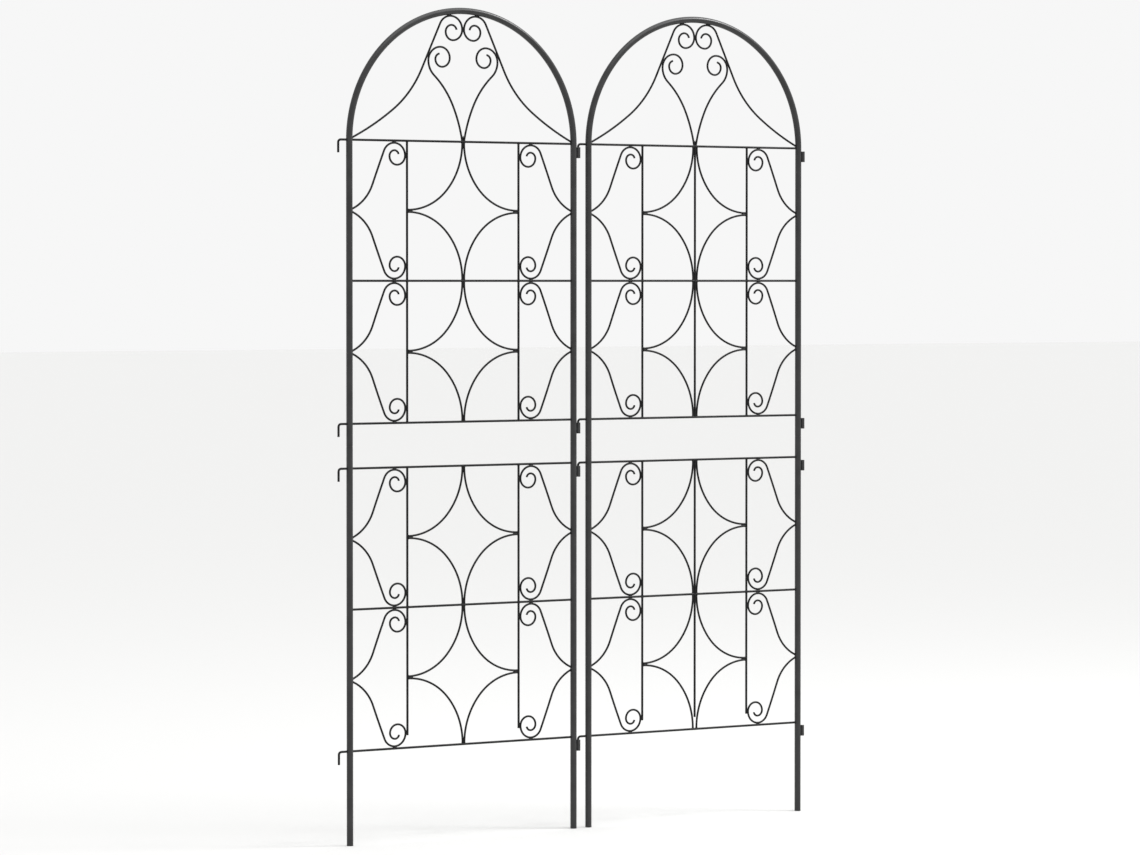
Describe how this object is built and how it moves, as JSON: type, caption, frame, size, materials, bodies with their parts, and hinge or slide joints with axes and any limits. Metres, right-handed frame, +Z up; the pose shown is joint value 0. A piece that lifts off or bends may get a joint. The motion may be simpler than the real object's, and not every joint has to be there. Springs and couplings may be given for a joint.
{
  "type": "metal trellis arch",
  "caption": "Pair of arch-topped steel trellis panels with scrolled rods, hooked side by side, each a push-fit upper section on two staked legs, for climbing plants.",
  "frame": {"origin": "on the ground, halfway across the pair, in the panels' middle plane", "axes": "+X along the panels from left to right, +Y away from the viewer, +Z up"},
  "size_m": [1.2178, 0.014, 1.8],
  "materials": {
    "powder_coat": "satin black powder coat"
  },
  "bodies": {
    "left_lower": {"left_bar_4": "powder_coat", "left_bar_5": "powder_coat", "left_bar_6": "powder_coat", "left_lower_left_stile": "powder_coat", "left_lower_right_stile": "powder_coat", "left_lower_sockets": "powder_coat", "left_lower_uprights": "powder_coat", "left_side_scrolls_3_left": "powder_coat", "left_side_scrolls_3_right": "powder_coat", "left_side_scrolls_4_left": "powder_coat", "left_side_scrolls_4_right": "powder_coat", "left_star_3": "powder_coat", "left_star_4": "powder_coat"},
    "left_upper": {"left_bar_1": "powder_coat", "left_bar_2": "powder_coat", "left_bar_3": "powder_coat", "left_crown_scrolls": "powder_coat", "left_hoop": "powder_coat", "left_side_scrolls_1_left": "powder_coat", "left_side_scrolls_1_right": "powder_coat", "left_side_scrolls_2_left": "powder_coat", "left_side_scrolls_2_right": "powder_coat", "left_star_1": "powder_coat", "left_star_2": "powder_coat", "left_upper_sockets": "powder_coat", "left_upper_uprights": "powder_coat", "left_vase_scrolls": "powder_coat"},
    "right_lower": {"right_bar_4": "powder_coat", "right_bar_5": "powder_coat", "right_bar_6": "powder_coat", "right_lower_centre_rods": "powder_coat", "right_lower_left_stile": "powder_coat", "right_lower_right_stile": "powder_coat", "right_lower_sockets": "powder_coat", "right_lower_uprights": "powder_coat", "right_side_scrolls_3_left": "powder_coat", "right_side_scrolls_3_right": "powder_coat", "right_side_scrolls_4_left": "powder_coat", "right_side_scrolls_4_right": "powder_coat", "right_star_3": "powder_coat", "right_star_4": "powder_coat"},
    "right_upper": {"right_bar_1": "powder_coat", "right_bar_2": "powder_coat", "right_bar_3": "powder_coat", "right_crown_scrolls": "powder_coat", "right_hoop": "powder_coat", "right_side_scrolls_1_left": "powder_coat", "right_side_scrolls_1_right": "powder_coat", "right_side_scrolls_2_left": "powder_coat", "right_side_scrolls_2_right": "powder_coat", "right_star_1": "powder_coat", "right_star_2": "powder_coat", "right_upper_centre_rods": "powder_coat", "right_upper_sockets": "powder_coat", "right_upper_uprights": "powder_coat", "right_vase_scrolls": "powder_coat"}
  },
  "joints": [
    {"name": "left_top_lift", "type": "slide", "parent": "left_lower", "child": "left_upper", "axis": [0, 0, 1], "range_m": [0, 0.04]},
    {"name": "panel_swing", "type": "hinge", "parent": "left_lower", "child": "right_lower", "pos_m": [-0.00125, 0, 0.5], "axis": [0, 0, 1], "range_deg": [-120, 120]},
    {"name": "right_top_lift", "type": "slide", "parent": "right_lower", "child": "right_upper", "axis": [0, 0, 1], "range_m": [0, 0.04]}
  ],
  "couplings": [
    {"joint": "right_top_lift", "follows": "left_top_lift", "ratio": 1}
  ]
}
